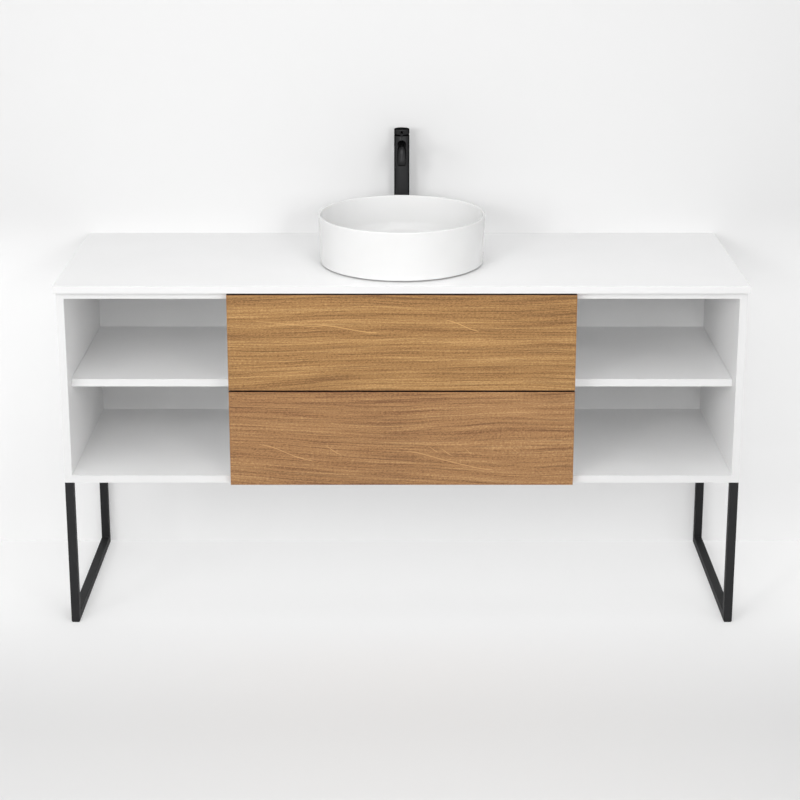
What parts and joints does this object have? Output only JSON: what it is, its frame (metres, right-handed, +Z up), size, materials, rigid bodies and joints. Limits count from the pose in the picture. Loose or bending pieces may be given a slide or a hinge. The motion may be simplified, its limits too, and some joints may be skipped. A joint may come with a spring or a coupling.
{
  "type": "vessel sink vanity",
  "caption": "Long white vanity with a round vessel basin, tall black lever mixer, two wood-faced push-open drawers between open shelf bays, on black sled legs.",
  "frame": {"origin": "on the floor under the middle of the countertop, halfway between its front edge and the wall", "axes": "+Z up, -Y to the front, +X to the right of someone who faces the front"},
  "size_m": [1.6, 0.51, 1.127],
  "materials": {
    "white_countertop": "matt white laminate",
    "white_board": "satin white laminate",
    "beech_dowel": "bare beech",
    "zinc_steel": "zinc plated",
    "black_steel": "matt black powder coat",
    "black_rubber": "matt",
    "grey_plastic": "satin grey",
    "white_ceramic": "white glaze",
    "clear_sealant": "translucent silicone",
    "matt_black_metal": "matt black coating on brass",
    "white_plastic": "white polypropylene",
    "brass": "bare brass",
    "cartridge_plastic": "moulded nylon",
    "oak_front": "oiled veneer, grain across",
    "drawer_board": "satin white laminate"
  },
  "bodies": {
    "vanity": {"countertop": "white_countertop", "left_side": "white_board", "right_side": "white_board", "left_partition": "white_board", "right_partition": "white_board", "bottom_board": "white_board", "top_boards": "white_board", "front_stretcher": "white_board", "rear_rails": "white_board", "back_panels": "white_board", "shelves": "white_board", "shelf_pins": "zinc_steel", "dowels": "beech_dowel", "carcass_screws": "zinc_steel", "left_leg_frame": "black_steel", "right_leg_frame": "black_steel", "leg_plates": "black_steel", "leg_pads": "black_rubber", "push_latches": "grey_plastic", "cabinet_runners": "zinc_steel", "basin": "white_ceramic", "basin_seal": "clear_sealant", "waste_body": "matt_black_metal", "plumbing_nuts": "white_plastic", "trap_body": "white_plastic", "trap_bottle": "white_plastic", "trap_arm": "white_plastic", "wall_cover": "white_plastic", "mixer_body": "matt_black_metal", "mixer_spout": "matt_black_metal", "mixer_aerator": "cartridge_plastic", "mixer_fixings": "brass", "cartridge_housing": "cartridge_plastic", "cartridge_ring": "brass"},
    "upper_drawer": {"upper_drawer_front": "oak_front", "upper_drawer_sides": "drawer_board", "upper_inner_front": "drawer_board", "upper_drawer_back": "drawer_board", "upper_drawer_bottom": "drawer_board", "upper_front_screws": "zinc_steel", "upper_drawer_runners": "zinc_steel", "upper_drawer_recess": "grey_plastic"},
    "lower_drawer": {"lower_drawer_front": "oak_front", "lower_drawer_sides": "drawer_board", "lower_inner_front": "drawer_board", "lower_drawer_back": "drawer_board", "lower_drawer_bottom": "drawer_board", "lower_front_screws": "zinc_steel", "lower_drawer_runners": "zinc_steel"},
    "upper_runner_link": {"upper_middle_runners": "zinc_steel"},
    "lower_runner_link": {"lower_middle_runners": "zinc_steel"},
    "upper_plungers": {"upper_latch_plungers": "grey_plastic"},
    "lower_plungers": {"lower_latch_plungers": "grey_plastic"},
    "pop_up_plug": {"waste_plug": "matt_black_metal"},
    "mixer_carrier": {"cartridge_carrier": "cartridge_plastic", "lever_pivot_pin": "zinc_steel"},
    "mixer_handle": {"mixer_stem": "zinc_steel", "mixer_cap": "matt_black_metal", "mixer_lever": "matt_black_metal"}
  },
  "joints": [
    {"name": "upper_drawer_slide", "type": "slide", "parent": "vanity", "child": "upper_drawer", "axis": [0, -1, 0], "range_m": [0, 0.4]},
    {"name": "upper_runner_slide", "type": "slide", "parent": "vanity", "child": "upper_runner_link", "axis": [0, -1, 0], "range_m": [0, 0.2]},
    {"name": "upper_latch_press", "type": "slide", "parent": "vanity", "child": "upper_plungers", "axis": [0, 1, 0], "range_m": [0, 0.0015], "stiffness_N_per_m": 100},
    {"name": "lower_drawer_slide", "type": "slide", "parent": "vanity", "child": "lower_drawer", "axis": [0, -1, 0], "range_m": [0, 0.4]},
    {"name": "lower_runner_slide", "type": "slide", "parent": "vanity", "child": "lower_runner_link", "axis": [0, -1, 0], "range_m": [0, 0.2]},
    {"name": "lower_latch_press", "type": "slide", "parent": "vanity", "child": "lower_plungers", "axis": [0, 1, 0], "range_m": [0, 0.0015], "stiffness_N_per_m": 100},
    {"name": "waste_plug_lift", "type": "slide", "parent": "vanity", "child": "pop_up_plug", "axis": [0, 0, 1], "range_m": [0, 0.008]},
    {"name": "mixer_temperature", "type": "hinge", "parent": "vanity", "child": "mixer_carrier", "pos_m": [0, 0.21, 1.0975], "axis": [0, 0, 1], "range_deg": [-45, 45]},
    {"name": "mixer_flow", "type": "hinge", "parent": "mixer_carrier", "child": "mixer_handle", "pos_m": [0, 0.21, 1.0975], "axis": [-1, 0, 0], "range_deg": [0, 20]}
  ],
  "couplings": [
    {"joint": "upper_runner_slide", "follows": "upper_drawer_slide", "ratio": 0.5},
    {"joint": "lower_runner_slide", "follows": "lower_drawer_slide", "ratio": 0.5}
  ]
}
